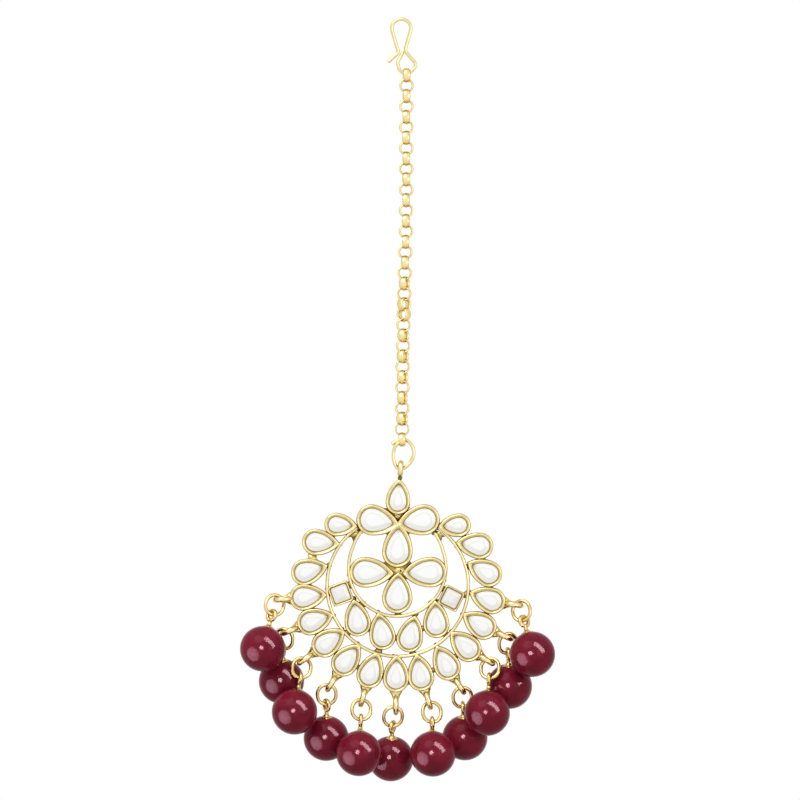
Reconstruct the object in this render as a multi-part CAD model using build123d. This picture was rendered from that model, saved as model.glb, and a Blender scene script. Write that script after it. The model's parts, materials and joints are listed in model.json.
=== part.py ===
"""Maang tikka: a hair hook, a belcher chain, and a round openwork pendant hung with eleven beads.

The origin is the inside of the hook's arch, where the hair or a pin carries the jewel.
+X is to the wearer's left as seen from the front, the front faces -Y and +Z is up.
All sizes are in millimetres and all angles in degrees.
"""
from build123d import *
from math import atan2, cos, degrees, hypot, radians, sin, sqrt, tan
import os

# ---- Wire work above the pendant ----
HOOK_WIRE = 0.8            # diameter of the hook's wire
HOOK_ARCH_RADIUS = 2.1     # centre line of the arch that carries the jewel
HOOK_LEAN_BACK = 0.55      # how far the eye's end passes behind the hook's shank

LINK_OUTER = 1.68          # outer radius of a chain link
LINK_INNER = 1.22          # inner radius of a chain link
LINK_WIDTH = 1.44          # width of a link's band, along its axis
LINK_OUTER_CROWN = 0.16    # how much the band is domed outside
LINK_INNER_CROWN = 0.18    # and inside
LINK_PITCH = 2.3415        # from one link's centre to the next
LINK_COUNT = 36

RING_WIRE = 0.8            # the connector ring between chain and pendant
RING_RADIUS = 2.3          # centre line of its rounded ends
RING_HEIGHT = 5.85         # between the centre lines of its top and bottom
RING_LEAN = 8              # its top leans this much to +X, in degrees
RING_LIFT = 0.2            # it sits across the last link, so its top is this much higher

BAIL_WIRE = 1.25
BAIL_RADIUS = 1.3
BAIL_LIFT = 0.2            # and it hangs beside the ring's lowest point

# ---- The pendant's frame ----
FRAME_FRONT = -1.3         # y of the bezels' front rims
FRAME_DEPTH = 2.4
POCKET_DEPTH = 1.9
STRIP_WIDTH = 0.75         # the two bent strips that make the crescent
SIDE_ARC = 1.42            # radius of a pear's sides, in widths of the pear
SOLDER_RADIUS = 0.45
SOLDER_BITE = 0.25         # solder across a wide gap grips each side by this much
LUG_WIRE = 1.0
LUG_RADIUS = 1.55          # centre line of a soldered lug ring
LUG_SOLDER = 0.75          # radius of the bead of solder at its foot

# ---- Stones ----
STONE_GAP = 0.05
STONE_BEVEL_WIDTH = 0.85
STONE_BEVEL_HEIGHT = 0.5
TABLE_RECESS = 0.2         # the stone's flat lies this far behind the rim

# ---- Bead drops ----
BEAD_RADIUS = 5.1
BEAD_HOLE = 1.0
BEAD_HOLE_DEPTH = 7.0
PIN_WIRE = 0.78
PIN_END = 1.6              # the pin ends this far past the bead's centre
EYE_RADIUS = 1.04          # centre line of the pin's eye
JUMP_WIRE = 0.7
JUMP_RADIUS = 2.03         # centre line of the jump ring's rounded ends
JUMP_STRAIGHT = 0.45       # it is pulled longer by this much
JUMP_HANG = 1.25           # from the lug's wire to the jump ring's middle
EYE_HANG = 0.25            # the jump ring's wire lies this far above the eye's middle
CAP_RADIUS = 1.45
CAP_TOP = 5.72             # top of the bead cap, from the bead's centre
CAP_WALL = 0.25
CAP_PETALS = 5

FIT_GAP = 0.05             # between wires that hang in each other
CHAIN_GAP = 0.25           # between the chain's tube and the links at its ends

# ---- Where things hang ----
CHAIN_TOP_X = 1.25         # the first link, under the hook's eye
CHAIN_END_X = 0.25         # the last links
RING_X = 0.5               # middle of the connector ring
BAIL_X = -0.1
HOOK_EYE_Z = -11.47        # centre line of the wire at the bottom of the hook's eye
PENDANT_X = -0.65          # centre of the crescent's outer strip
PENDANT_Z = -127.0

# Route of the chain between its first and last link (x, z)
CHAIN_ROUTE = [(1.22, -30.0), (1.1, -47.0), (0.68, -62.0), (0.4, -77.0)]

# Openings of the settings: kind -> (width, length, metal added between it and the tip, wall)
OPENINGS = {
    "crest": (3.85, 6.0, 0.15, 0.85),
    "shoulder": (5.2, 7.5, 0.4, 0.9),
    "petal": (5.1, 7.8, 0.3, 0.9),
    "low petal": (5.1, 7.35, 0.1, 0.88),
    "bud": (3.5, 5.3, 0.2, 0.9),
    "rim": (4.25, 6.35, 0.3, 0.86),
    "leaf": (4.35, 6.5, 0.25, 0.8),
    "square": (3.75, 3.75, 0.0, 0.54),
}

# Settings: name -> (kind, x and z of the round end's centre from the crescent's centre,
# direction of the tip).  A square's place is its middle and its direction one side.
SETTINGS = {
    "crest": ("crest", -0.05, 18.7, 86.5),
    "shoulder_left": ("shoulder", -5.9, 14.75, -11),
    "shoulder_right": ("shoulder", 5.9, 14.78, 190),
    "petal_top": ("petal", -0.17, 7.45, 87),
    "petal_left": ("petal", -7.55, 2.94, -2),
    "petal_right": ("petal", 7.5, 2.97, 182),
    "petal_bottom": ("low petal", -0.2, -2.9, 87),
    "square_left": ("square", -12.95, -1.85, 20),
    "square_right": ("square", 11.95, -2.9, -26.5),
    "leaf_1": ("leaf", -9.06, -8.54, 100),
    "leaf_2": ("leaf", -3.5, -11.55, 100.5),
    "leaf_3": ("leaf", 2.55, -12.1, 75.5),
    "leaf_4": ("leaf", 8.56, -8.87, 92),
    "rim_01": ("bud", -13.95, 13.7, -5),
    "rim_02": ("rim", -18.65, 9.75, -5),
    "rim_03": ("rim", -21.12, 2.9, 17),
    "rim_04": ("rim", -21.5, -2.7, 6),
    "rim_05": ("rim", -19.78, -8.28, 18),
    "rim_06": ("rim", -16.53, -13.3, 35),
    "rim_07": ("rim", -12.15, -17.52, 50),
    "rim_08": ("rim", -6.45, -20.2, 70),
    "rim_09": ("rim", -0.5, -21.1, 87.5),
    "rim_10": ("rim", 5.16, -20.81, 100.5),
    "rim_11": ("rim", 11.14, -18.43, 118),
    "rim_12": ("rim", 15.79, -14.28, 137),
    "rim_13": ("rim", 19.23, -9.31, 148),
    "rim_14": ("rim", 21.2, -3.53, 159),
    "rim_15": ("rim", 20.45, 2.58, 152),
    "rim_16": ("rim", 18.45, 8.86, 172),
    "rim_17": ("bud", 13.73, 13.54, 185),
}

# The crescent's strips: (centre x, centre z, radius, left end's angle, right end's angle)
STRIPS = {
    "outer": (-0.1, -0.1, 15.9, 125, 415),
    "inner": (-0.2, 4.0, 10.95, 134, 403),
}

# Fillings of solder between the strips' ends, under the bail, in the middle of the flower and
# above it (x, z, radius)
FILLINGS = [
    (-10.3, 10.9, 0.65), (-9.8, 11.6, 0.7), (9.5, 10.9, 0.65), (9.0, 11.6, 0.7),
    (0.4, 24.0, 0.65), (-0.7, 3.4, 0.9), (0.5, 3.4, 1.0), (-0.1, 15.7, 0.95),
]

# Neighbours that a drop of solder joins
SOLDERED = [
    ("crest", "shoulder_left"), ("crest", "shoulder_right"), ("shoulder_left", "shoulder_right"),
    ("shoulder_left", "petal_top"), ("shoulder_right", "petal_top"),
    ("petal_top", "petal_left"), ("petal_top", "petal_right"), ("petal_left", "petal_bottom"),
    ("petal_right", "petal_bottom"), ("petal_top", "petal_bottom"),
    ("petal_left", "inner"), ("petal_right", "inner"), ("petal_bottom", "inner"),
    ("square_left", "inner"), ("square_left", "outer"), ("square_left", "leaf_1"),
    ("square_right", "inner"), ("square_right", "outer"), ("square_right", "leaf_4"),
    ("leaf_1", "inner"), ("leaf_2", "inner"), ("leaf_3", "inner"), ("leaf_4", "inner"),
    ("leaf_1", "outer"), ("leaf_2", "outer"), ("leaf_3", "outer"), ("leaf_4", "outer"),
    ("leaf_1", "leaf_2"), ("leaf_2", "leaf_3"), ("leaf_3", "leaf_4"),
    ("shoulder_left", "inner"), ("shoulder_right", "inner"),
    ("shoulder_left", "outer"), ("shoulder_right", "outer"),
    ("rim_01", "shoulder_left"), ("rim_17", "shoulder_right"),
]
SOLDERED += [(f"rim_{n:02d}", f"rim_{n + 1:02d}") for n in range(1, 17)]
SOLDERED += [(f"rim_{n:02d}", "outer") for n in range(2, 17)]

# Drops, from the wearer's right: (cup, lug tip x and z, lean of the jump ring from straight
# down, bead x, y and z, turns of the jump ring and of the eye about the pin).
# Places are from the crescent's centre, apart from y.
DROPS = [
    ("rim_04", -27.9, -3.3, -18, -30.4, -3.2, -14.15, -14, 44),
    ("rim_05", -26.3, -11.0, 6, -26.3, 3.5, -21.7, 18, 77),
    ("rim_06", -22.5, -17.7, 17, -23.25, -3.8, -28.3, -2, 80),
    ("rim_07", -16.1, -23.8, -11, -16.2, 3.1, -34.55, -6, 62),
    ("rim_08", -8.5, -27.2, 4, -8.8, -3.4, -37.65, -6, 88),
    ("rim_09", -0.5, -29.0, -31, -1.65, 4.0, -39.2, -8, 112),
    ("rim_10", 7.4, -27.8, 16, 7.8, -3.5, -37.75, -12, 84),
    ("rim_11", 15.0, -24.4, -13, 15.05, 3.5, -34.45, -8, 92),
    ("rim_12", 21.6, -17.8, -24, 20.0, -3.4, -28.6, 15, 100),
    ("rim_13", 25.8, -12.2, -32, 25.1, 3.6, -22.85, -20, 80),
    ("rim_14", 28.0, -4.6, 11, 30.15, -3.0, -15.4, 20, -38),
]

PENDANT_CENTRE = Vector(PENDANT_X, 0, PENDANT_Z)
FIRST_LINK_Z = HOOK_EYE_Z + HOOK_WIRE / 2 + FIT_GAP - LINK_INNER
LAST_LINK_Z = FIRST_LINK_Z - (LINK_COUNT - 1) * LINK_PITCH
SWAY_LINK_Z = LAST_LINK_Z + LINK_PITCH
RING_TOP_Z = LAST_LINK_Z - LINK_INNER + RING_WIRE / 2 + RING_LIFT
RING_BOTTOM_Z = RING_TOP_Z - RING_HEIGHT
BAIL_Z = RING_BOTTOM_Z + RING_WIRE / 2 + BAIL_WIRE / 2 + BAIL_LIFT - BAIL_RADIUS


# ---- Outlines, drawn in the plane of the pendant ----
def polar(x, z, radius, angle):
    return (x + radius * cos(radians(angle)), z + radius * sin(radians(angle)))


def pear_face(kind, x, z, tip, offset=0.0):
    """A pear: a round end and two arcs that meet in the tip, moved outwards by the offset."""
    width, length, tip_metal, _ = OPENINGS[kind]
    if offset > 0:
        length += tip_metal
    bulb = width / 2
    side = SIDE_ARC * width
    reach = length - bulb
    # centre of the arc of one side, along the axis and across it
    along = (reach**2 - 2 * side * bulb + bulb**2) / (2 * reach)
    across = sqrt((side - bulb) ** 2 - along**2)
    bulb += offset
    side += offset
    reach = along + sqrt(side**2 - across**2)
    join = degrees(atan2(across, -along))
    half_way = (join + degrees(atan2(across, reach - along))) / 2
    middle = (along + side * cos(radians(half_way)), -across + side * sin(radians(half_way)))

    def place(point):
        px, pz = point
        return (
            x + px * cos(radians(tip)) - pz * sin(radians(tip)),
            z + px * sin(radians(tip)) + pz * cos(radians(tip)),
        )

    tip_point = place((reach, 0))
    upper_join = polar(x, z, bulb, tip + join)
    lower_join = polar(x, z, bulb, tip - join)
    return make_face([
        ThreePointArc(tip_point, place(middle), upper_join),
        ThreePointArc(upper_join, polar(x, z, bulb, tip + 180), lower_join),
        ThreePointArc(lower_join, place((middle[0], -middle[1])), tip_point),
    ])


def setting_face(name, offset=0.0):
    kind, x, z, turn = SETTINGS[name]
    if kind == "square":
        width, length = OPENINGS[kind][:2]
        return Pos(x, z) * Rot(0, 0, turn) * Rectangle(width + 2 * offset, length + 2 * offset)
    return pear_face(kind, x, z, turn, offset)


def wall_of(name):
    return OPENINGS[SETTINGS[name][0]][3]


def strip_face(x, z, radius, start, end):
    """A strip of the crescent, bent round the bottom from its left end to its right one."""
    inner = radius - STRIP_WIDTH / 2
    outer = radius + STRIP_WIDTH / 2
    middle = (start + end) / 2
    return make_face([
        ThreePointArc(*(polar(x, z, outer, angle) for angle in (start, middle, end))),
        Line(polar(x, z, outer, end), polar(x, z, inner, end)),
        ThreePointArc(*(polar(x, z, inner, angle) for angle in (end, middle, start))),
        Line(polar(x, z, inner, start), polar(x, z, outer, start)),
    ])


def in_pendant(face, y):
    """Stand a face drawn from the crescent's centre up in the pendant, facing the front."""
    return Plane(PENDANT_CENTRE + Vector(0, y, 0), x_dir=(1, 0, 0), z_dir=(0, -1, 0)) * face


def lug_line(row):
    """Where a lug is soldered to its cup, its tip, and the direction between them."""
    cup, tip_x, tip_z = row[:3]
    kind, cup_x, cup_z, _ = SETTINGS[cup]
    round_end = PENDANT_CENTRE + Vector(cup_x, 0, cup_z)
    tip = PENDANT_CENTRE + Vector(tip_x, 0, tip_z)
    out = (tip - round_end).normalized()
    return round_end + out * (OPENINGS[kind][0] / 2 + wall_of(cup)), tip, out


# ---- Pieces ----
def round_wire(path, diameter):
    return sweep(Plane(path @ 0, z_dir=path % 0) * Circle(diameter / 2), path=path)


def ring(centre, normal, radius, wire):
    return Plane(centre, z_dir=normal) * Torus(radius, wire / 2)


def hair_hook():
    """An S of wire: a short catch, the arch, and an eye whose end passes behind the shank."""
    corners = [
        (-2.8, 0, -9.2), (-0.55, 0, -7.1), (-2.8, 0, HOOK_WIRE / 2), (2.9, 0, HOOK_WIRE / 2),
        (0.85, 0, -6.75), (3.65, 0, -9.9), (1.95, 0, HOOK_EYE_Z - 0.3),
        (-0.3, 0, HOOK_EYE_Z - 0.12), (-0.8, 0.1, -9.3), (0.45, HOOK_LEAN_BACK + 0.3, -7.0),
    ]
    bends = [0.9, HOOK_ARCH_RADIUS, HOOK_ARCH_RADIUS, 1.6, 1.1, 1.3, 1.5, 1.8]
    return round_wire(FilletPolyline(*corners, radius=bends), HOOK_WIRE)


def chain_link(centre, axis):
    """A belcher link: a short tube whose band is domed inside and out."""
    half = LINK_WIDTH / 2
    edge_outer = LINK_OUTER - LINK_OUTER_CROWN
    edge_inner = LINK_INNER + LINK_INNER_CROWN
    band = make_face([
        ThreePointArc((edge_outer, -half), (LINK_OUTER, 0), (edge_outer, half)),
        Line((edge_outer, half), (edge_inner, half)),
        ThreePointArc((edge_inner, half), (LINK_INNER, 0), (edge_inner, -half)),
        Line((edge_inner, -half), (edge_outer, -half)),
    ])
    return Plane(centre, z_dir=axis) * revolve(Plane.XZ * band, Axis.Z)


def chain():
    """The run of links between the first and the last two, as one tube along their middle."""
    top = (CHAIN_TOP_X, 0, FIRST_LINK_Z - LINK_OUTER - CHAIN_GAP)
    bottom = (CHAIN_END_X, 0, SWAY_LINK_Z + LINK_OUTER + CHAIN_GAP)
    points = [Vector(*top), *(Vector(x, 0, z) for x, z in CHAIN_ROUTE), Vector(*bottom)]
    radii = []
    for before, here, after in zip(points, points[1:], points[2:]):
        turn = (here - before).get_angle(after - here)
        shorter = min((here - before).length, (after - here).length)
        radii.append(0.45 * shorter / tan(radians(turn / 2)))
    print("chain bend radii:", [round(radius) for radius in radii])
    return round_wire(FilletPolyline(*points, radius=radii), 2 * LINK_OUTER)


def oval_wire(centre, along, normal, radius, straight, wire):
    """A closed oval of wire: two half circles joined by short straight sides."""
    plane = Plane(centre, x_dir=along, z_dir=normal)
    path = (plane * SlotCenterToCenter(straight, 2 * radius)).face().outer_wire()
    return round_wire(path, wire)


def connector_ring():
    middle = Vector(RING_X, 0, (RING_TOP_Z + RING_BOTTOM_Z) / 2)
    straight = RING_HEIGHT - 2 * RING_RADIUS
    upright = (sin(radians(RING_LEAN)), 0, cos(radians(RING_LEAN)))
    return oval_wire(middle, upright, (0, 1, 0), RING_RADIUS, straight, RING_WIRE)


def pendant_frame():
    """The soldered metal in one solid: cups, crescent strips, solder, lugs and bail."""
    outlines = {name: setting_face(name, wall_of(name)) for name in SETTINGS}
    outlines.update({name: strip_face(*row) for name, row in STRIPS.items()})
    drops_of_solder = [Pos(x, z) * Circle(radius) for x, z, radius in FILLINGS]
    for first, second in SOLDERED:
        near, far = outlines[first].closest_points(outlines[second])
        middle = (near + far) / 2
        radius = max(SOLDER_RADIUS, (far - near).length / 2 + SOLDER_BITE)
        drops_of_solder.append(Pos(middle.X, middle.Y) * Circle(radius))
    for row in DROPS:
        foot, _, out = lug_line(row)
        at = foot - PENDANT_CENTRE + out * 0.2
        drops_of_solder.append(Pos(at.X, at.Z) * Circle(LUG_SOLDER))
    metal = Sketch() + [*outlines.values(), *drops_of_solder]
    frame = extrude(in_pendant(metal, FRAME_FRONT + FRAME_DEPTH), FRAME_DEPTH)
    pockets = Sketch() + [setting_face(name) for name in SETTINGS]
    frame -= extrude(in_pendant(pockets, FRAME_FRONT + POCKET_DEPTH), 2 * POCKET_DEPTH)
    loops = [ring(Vector(BAIL_X, 0, BAIL_Z), (1, 0, 0), BAIL_RADIUS, BAIL_WIRE)]
    for row in DROPS:
        _, tip, out = lug_line(row)
        across = Vector(-out.Z, 0, out.X)
        loops.append(ring(tip - out * (LUG_RADIUS + LUG_WIRE / 2), across, LUG_RADIUS, LUG_WIRE))
    return frame + loops


def stone(name):
    """A flat stone with a bevelled edge, with a little play in its cup."""
    back = FRAME_FRONT + POCKET_DEPTH - STONE_GAP
    table = FRAME_FRONT + TABLE_RECESS
    girdle = table + STONE_BEVEL_HEIGHT
    outline = in_pendant(setting_face(name, -STONE_GAP), girdle)
    flat = in_pendant(setting_face(name, -STONE_GAP - STONE_BEVEL_WIDTH), table)
    body = extrude(in_pendant(setting_face(name, -STONE_GAP), back), back - girdle)
    return body + loft([outline.face(), flat.face()], ruled=True)


def drop_frame(row):
    """Key points of a drop: jump ring's middle, eye's middle, bead's centre and the way down."""
    lean, bead_x, bead_y, bead_z = row[3:7]
    bead = PENDANT_CENTRE + Vector(bead_x, bead_y, bead_z)
    _, tip, out = lug_line(row)
    lug_wire = tip - out * (LUG_WIRE / 2)
    jump = lug_wire + Vector(sin(radians(lean)), 0, -cos(radians(lean))) * JUMP_HANG
    share = JUMP_HANG / (bead - lug_wire).length
    jump = jump + Vector(0, bead_y * share, 0)
    down = (bead - jump).normalized()
    eye = jump + down * (JUMP_RADIUS + JUMP_STRAIGHT / 2 + EYE_HANG)
    return jump, eye, bead, down


def turned_normal(down, turn):
    """The front's direction, squared to the way down and turned about it."""
    front = Vector(0, -1, 0)
    square = (front - down * front.dot(down)).normalized()
    return square.rotate(Axis((0, 0, 0), tuple(down)), turn)


def bead(row):
    """A bead with a blind hole for the pin, which is glued in."""
    _, _, centre, down = drop_frame(row)
    bore = Plane(centre - down * BEAD_RADIUS, z_dir=down)
    hole = Cylinder(BEAD_HOLE / 2, 2 * BEAD_HOLE_DEPTH)
    return Pos(*centre) * Sphere(BEAD_RADIUS) - bore * hole


def bead_cap():
    """A bell of metal with petals round its rim, standing on a bead at the origin."""
    foot = sqrt((BEAD_RADIUS + FIT_GAP) ** 2 - CAP_RADIUS**2)
    neck = PIN_WIRE / 2 + FIT_GAP
    profile = make_face([
        Line((neck, CAP_TOP), (neck + CAP_WALL, CAP_TOP)),
        ThreePointArc(
            (neck + CAP_WALL, CAP_TOP),
            (neck + CAP_WALL + 0.22, (CAP_TOP + foot) / 2 - 0.02),
            (CAP_RADIUS, foot + CAP_WALL / 2),
        ),
        Line((CAP_RADIUS, foot + CAP_WALL / 2), (CAP_RADIUS, foot)),
        ThreePointArc(
            (CAP_RADIUS, foot),
            (neck + 0.35, (CAP_TOP + foot) / 2 - 0.22),
            (neck, CAP_TOP - CAP_WALL),
        ),
        Line((neck, CAP_TOP - CAP_WALL), (neck, CAP_TOP)),
    ])
    cap = revolve(Plane.XZ * profile, Axis.Z)
    notches = PolarLocations(CAP_RADIUS, CAP_PETALS) * Cylinder(0.3, 2 * CAP_TOP)
    return cap - notches


def drop_fitting(row, cap):
    """Jump ring, eye pin and cap of one drop, each a solid of its own."""
    ring_turn, eye_turn = row[-2:]
    jump, eye, centre, down = drop_frame(row)
    jump_ring = oval_wire(
        jump, down, turned_normal(down, ring_turn), JUMP_RADIUS, JUMP_STRAIGHT, JUMP_WIRE)
    shank_length = (centre - eye).length + PIN_END - EYE_RADIUS
    shank = Plane(eye + down * EYE_RADIUS, z_dir=down) * Cylinder(
        PIN_WIRE / 2, shank_length, align=(Align.CENTER, Align.CENTER, Align.MIN))
    pin = ring(eye, turned_normal(down, eye_turn), EYE_RADIUS, PIN_WIRE) + shank
    placed_cap = Plane(centre, z_dir=-down) * cap
    return Compound([jump_ring.solid(), pin.solid(), placed_cap.solid()])


def build():
    """Every node's name and shape."""
    first_link = Vector(CHAIN_TOP_X, 0, FIRST_LINK_Z)
    sway_link = Vector(CHAIN_END_X, 0, SWAY_LINK_Z)
    last_link = Vector(CHAIN_END_X, 0, LAST_LINK_Z)
    nodes = {
        "hair_hook": hair_hook(),
        "chain_first_link": chain_link(first_link, (1, 0, 0)),
        "chain": chain(),
        "chain_sway_link": chain_link(sway_link, (0, 1, 0)),
        "chain_last_link": chain_link(last_link, (1, 0, 0)),
        "connector_ring": connector_ring(),
        "pendant_frame": pendant_frame(),
    }
    nodes.update({f"stone_{name}": stone(name) for name in SETTINGS})
    cap = bead_cap()
    for number, row in enumerate(DROPS, start=1):
        nodes[f"drop_fitting_{number:02d}"] = drop_fitting(row, cap)
        nodes[f"bead_{number:02d}"] = bead(row)
    return nodes


def main():
    os.makedirs("parts", exist_ok=True)
    for name, shape in build().items():
        export_step(shape, f"parts/{name}.step")


if __name__ == "__main__":
    main()
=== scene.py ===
"""Detailed model of a maang tikka round its fixed frame: a wire hair hook, a belcher chain, a
connector ring and a round openwork pendant of stone-set cups, hung with eleven red beads.

Places and sizes in the tables are millimetres and degrees; every mesh is made in metres.
"""

import json
from math import atan2, cos, degrees, hypot, pi, radians, sin, sqrt, tan

import bpy
import numpy as np
from bpy.props import FloatProperty, FloatVectorProperty, IntProperty, PointerProperty
from mathutils import Matrix, Vector
from mathutils.kdtree import KDTree
from mathutils.noise import noise

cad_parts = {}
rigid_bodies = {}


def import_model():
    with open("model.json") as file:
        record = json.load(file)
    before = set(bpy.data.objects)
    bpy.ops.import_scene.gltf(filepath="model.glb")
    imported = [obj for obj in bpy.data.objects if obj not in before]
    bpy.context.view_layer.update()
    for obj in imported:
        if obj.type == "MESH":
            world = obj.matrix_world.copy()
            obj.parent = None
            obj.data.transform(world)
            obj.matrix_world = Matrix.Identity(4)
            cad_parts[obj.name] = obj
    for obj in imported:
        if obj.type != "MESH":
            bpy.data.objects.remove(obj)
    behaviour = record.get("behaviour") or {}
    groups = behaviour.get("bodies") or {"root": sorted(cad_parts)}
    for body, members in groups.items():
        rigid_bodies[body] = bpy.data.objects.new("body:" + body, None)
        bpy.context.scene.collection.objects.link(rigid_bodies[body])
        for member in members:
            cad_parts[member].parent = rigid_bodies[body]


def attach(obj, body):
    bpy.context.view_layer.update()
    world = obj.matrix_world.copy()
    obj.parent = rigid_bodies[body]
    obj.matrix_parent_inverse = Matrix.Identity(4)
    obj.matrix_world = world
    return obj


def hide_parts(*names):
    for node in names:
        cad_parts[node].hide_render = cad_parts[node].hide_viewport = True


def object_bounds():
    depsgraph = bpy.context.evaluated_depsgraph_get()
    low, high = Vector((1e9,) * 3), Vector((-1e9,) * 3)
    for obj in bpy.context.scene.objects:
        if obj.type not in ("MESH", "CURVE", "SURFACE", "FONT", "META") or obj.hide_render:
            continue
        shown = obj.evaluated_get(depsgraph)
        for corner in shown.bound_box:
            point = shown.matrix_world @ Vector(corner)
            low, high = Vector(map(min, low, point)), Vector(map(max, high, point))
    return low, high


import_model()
CAD_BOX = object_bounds()

bl_info = {
    "name": "Maang Tikka",
    "version": (1, 0, 0),
    "blender": (4, 5, 0),
    "location": "View3D > Sidebar > Maang Tikka",
    "description": "Hair hook, belcher chain, openwork pendant and bead drops",
    "category": "Add Mesh",
}

MM = 0.001

# ---- Sizes shared with the frame ----
HOOK_EYE_Z = -11.47
FIRST_LINK_Z = -12.24
LINK_PITCH = 2.3415
LINK_COUNT = 36
BAIL_X = -0.1
BAIL_Z = -100.74
BAIL_LEAN = 4
PENDANT = Vector((-0.65, 0.0, -127.0))  # centre of the crescent
BACK = 1.1  # y of the cups' backs
STONE_BACK = 0.55
SIDE_ARC = 1.42  # radius of a pear's sides, as a share of its width
JUMP_RADIUS = 2.03
JUMP_STRAIGHT = 0.45  # straight part of a jump ring
JUMP_HANG = 1.25  # from the lug's wire to the jump ring's middle
EYE_RADIUS = 1.04
EYE_HANG = 0.25  # from the jump ring's lower wire to the eye's middle
PIN_END = 1.6  # how far above the bead's centre the pin ends
LUG_RADIUS = 1.55
LUG_HALF_WIRE = 0.5

# ---- Radii of the wires as they look, some a little larger than in the frame ----
LUG_WIRE = 0.63
BAIL_WIRE = 0.6
JUMP_WIRE = 0.41
PIN_WIRE = 0.47
BAIL_RADIUS = 1.3
LUG_GROWTH = 0.13  # how much larger the drawn rings are than those of the frame
JUMP_GROWTH = 0.06
EYE_GROWTH = 0.08

# ---- Bends and marks ----
LINK_SIDES = 44
LINK_DOME = 0.17  # how far each face of a link's band falls away at its edges
LINK_INSIDE = 1.13  # inner radius of a link
END_LINK_INSIDE = 1.22  # and of the links that other pieces turn in
TURNED_FROM = 21  # from this link on the chain hangs turned, with less painted shade at its links' ends
JOINT_REACH = 0.55  # dirt and painted shade darken the gold where two cups are nearer than this
FAR = 9.0  # stands for no neighbour at all
RIM_Y = -0.8  # in front of this a cup's rim is uneven
RIM_CREST = -1.25  # y of the rims' front
CREVICE = 0.5  # so far behind the rims' front a joint is at its darkest
RING_POINTS = 36  # points round a lug or the bail
LUG_FLATNESS = 0.62  # depth of a lug's foot, as a share of its width
BACKWARD = Vector((0, 1, 0))

# Hair hook: corners as (x, y, z) from the catch's tip to the eye's end, and each bend's radius.
# The arch's two corners stand between, half a wire above the inside of the arch.
HOOK_CATCH = [(-2.8, 0, -9.2), (-0.55, 0, -7.1)]
HOOK_ARCH_X = (-2.8, 2.9)
HOOK_EYE = [
    (0.85, 0, -6.75), (3.65, 0, -9.9), (1.95, 0, HOOK_EYE_Z - 0.3),
    (-0.3, 0, HOOK_EYE_Z - 0.12), (-0.8, 0.1, -9.3), (0.45, 0.85, -7.0),
]
HOOK_BENDS = [0.9, 2.1, 2.1, 1.6, 1.1, 1.3, 1.5, 1.8]

# Route of the chain from the hook's eye to the ring: (z, x)
CHAIN_ROUTE = [(-12.5, 1.25), (-25.0, 1.2), (-47.0, 1.12), (-56.0, 0.85), (-65.0, 0.65),
               (-77.0, 0.38), (-91.9, 0.25)]

# Way of the connector ring's wire, from its front end round to the tail behind it (x, y, z)
RING_ROUTE = [
    (0.4, -0.1, -94.93), (-0.25, -0.2, -94.9), (-0.8, -0.2, -95.2), (-1.3, -0.15, -95.8),
    (-1.63, 0, -96.8), (-1.73, 0, -97.95), (-1.57, 0, -99.2), (-1.15, 0, -100.15),
    (-0.5, 0, -100.72), (0.15, 0, -100.8), (0.85, 0, -100.5), (1.6, 0, -99.9),
    (2.3, 0, -99.05), (2.78, 0, -98.0), (2.88, 0, -96.95), (2.6, 0, -95.85),
    (2.05, 0, -95.0), (1.4, 0.05, -94.45), (0.7, 0.15, -94.15), (0.0, 0.25, -94.15),
    (-0.65, 0.3, -94.42), (-1.3, 0.3, -94.78), (-1.95, 0.3, -95.15),
]

# Links that aren't turned as their neighbours make them: number -> degrees from facing front
TURNED_LINKS = {21: 70, 22: -8, 23: 48, 24: -45, 25: 5}

# Openings of the settings: kind -> (width, length, metal added between it and the tip, wall)
OPENINGS = {
    "crest": (3.85, 6.0, 0.15, 0.85),
    "shoulder": (5.2, 7.5, 0.4, 0.9),
    "petal": (5.1, 7.8, 0.3, 0.9),
    "low petal": (5.1, 7.35, 0.1, 0.88),
    "bud": (3.5, 5.3, 0.2, 0.9),
    "rim": (4.25, 6.35, 0.3, 0.86),
    "leaf": (4.35, 6.5, 0.25, 0.8),
    "square": (3.75, 3.75, 0.0, 0.54),
}

# Settings: name -> (kind, x and z of the round end's centre from the crescent's centre,
# direction of the tip).  A square's place is its middle and its direction one side.
SETTINGS = {
    "crest": ("crest", -0.05, 18.7, 86.5),
    "shoulder_left": ("shoulder", -5.9, 14.75, -11),
    "shoulder_right": ("shoulder", 5.9, 14.78, 190),
    "petal_top": ("petal", -0.17, 7.45, 87),
    "petal_left": ("petal", -7.55, 2.94, -2),
    "petal_right": ("petal", 7.5, 2.97, 182),
    "petal_bottom": ("low petal", -0.2, -2.9, 87),
    "square_left": ("square", -12.95, -1.85, 20),
    "square_right": ("square", 11.95, -2.9, -26.5),
    "leaf_1": ("leaf", -9.06, -8.54, 100),
    "leaf_2": ("leaf", -3.5, -11.55, 100.5),
    "leaf_3": ("leaf", 2.55, -12.1, 75.5),
    "leaf_4": ("leaf", 8.56, -8.87, 92),
}

# The rim's settings, from the wearer's right over the bottom to the left: (x, z, direction)
RIM = [
    (-13.95, 13.7, -5), (-18.65, 9.75, -5), (-21.12, 2.9, 17), (-21.5, -2.7, 6),
    (-19.78, -8.28, 18), (-16.53, -13.3, 35), (-12.15, -17.52, 50), (-6.45, -20.2, 70),
    (-0.5, -21.1, 87.5), (5.16, -20.81, 100.5), (11.14, -18.43, 118), (15.79, -14.28, 137),
    (19.23, -9.31, 148), (21.2, -3.53, 159), (20.45, 2.58, 152), (18.45, 8.86, 172),
    (13.73, 13.54, 185),
]
SETTINGS.update({f"rim_{n:02d}": ("bud" if n in (1, len(RIM)) else "rim", *place)
                 for n, place in enumerate(RIM, start=1)})

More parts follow.
